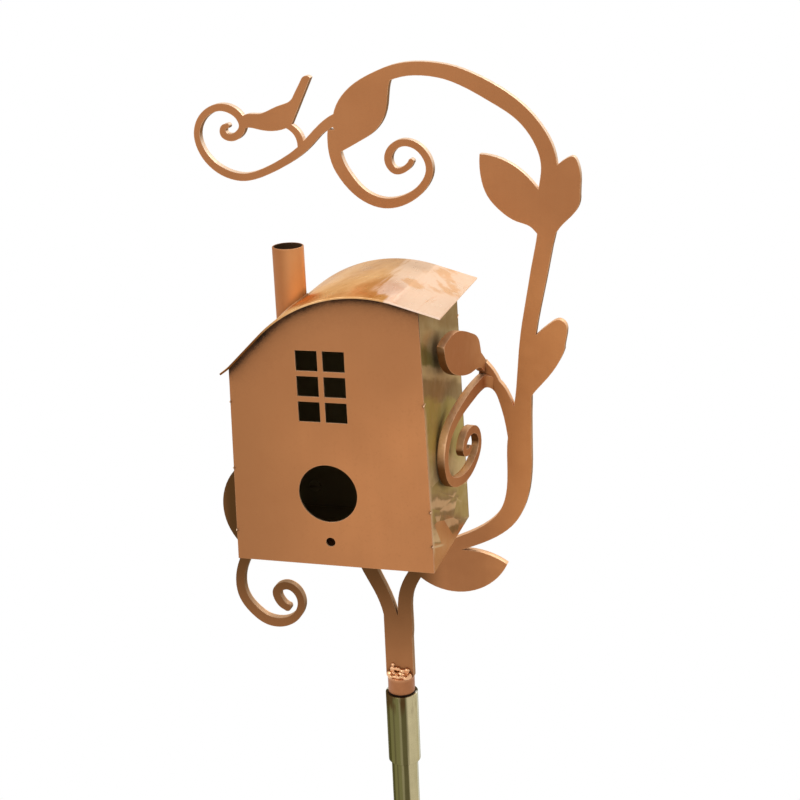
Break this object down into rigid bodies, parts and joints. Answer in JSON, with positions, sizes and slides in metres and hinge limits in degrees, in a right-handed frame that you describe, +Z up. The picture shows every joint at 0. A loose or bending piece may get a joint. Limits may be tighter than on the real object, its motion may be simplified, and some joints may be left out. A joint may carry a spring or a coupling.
{
  "type": "bird feeder on pole",
  "caption": "House-shaped bird feeder with arched roof, chimney and round entry, on a flat vine scroll that turns in the socket of a sectional garden pole.",
  "frame": {"origin": "on the pole's axis at ground level", "axes": "+Z up along the pole, -Y to the house's front, +X to the right seen from the front"},
  "size_m": [0.2546, 0.1099, 1.1275],
  "materials": {
    "scroll_copper": "satin copper finish on steel plate",
    "front_copper": "satin copper sheet",
    "wall_copper": "polished copper sheet",
    "roof_copper": "glossy copper sheet",
    "solder": "smooth solder fillet",
    "fastener_brass": "plain brass",
    "plug_copper": "satin copper finish on steel bar",
    "weld_metal": "lumpy bright weld bead",
    "pole_steel": "bright drawn steel tube",
    "spike_steel": "turned steel"
  },
  "bodies": {
    "lower_section": {"lower_pole": "pole_steel", "lower_collar": "pole_steel", "ground_spike": "spike_steel"},
    "upper_section": {"upper_pole": "pole_steel", "upper_collar": "pole_steel"},
    "head": {"scroll_plate": "scroll_copper", "stem_plug": "plug_copper", "stem_weld": "weld_metal", "front_panel": "front_copper", "back_panel": "wall_copper", "left_wall": "wall_copper", "right_wall": "wall_copper", "floor_panel": "wall_copper", "roof_sheet": "roof_copper", "chimney_tube": "roof_copper", "chimney_solder": "solder", "hatch_rivet": "fastener_brass", "house_screws": "fastener_brass", "house_washers": "fastener_brass", "house_nuts": "fastener_brass"},
    "hatch": {"hatch_cover": "wall_copper"}
  },
  "joints": [
    {"name": "section_pull", "type": "slide", "parent": "lower_section", "child": "upper_section", "axis": [0, 0, 1], "range_m": [0, 0.03]},
    {"name": "head_swivel", "type": "hinge", "parent": "upper_section", "child": "head", "pos_m": [0, 0, 0.463], "axis": [0, 0, 1], "continuous": true},
    {"name": "hatch_swing", "type": "hinge", "parent": "head", "child": "hatch", "pos_m": [-0.0445, -0.077, 0.615], "axis": [0, 0, -1], "range_deg": [0, 100]}
  ]
}
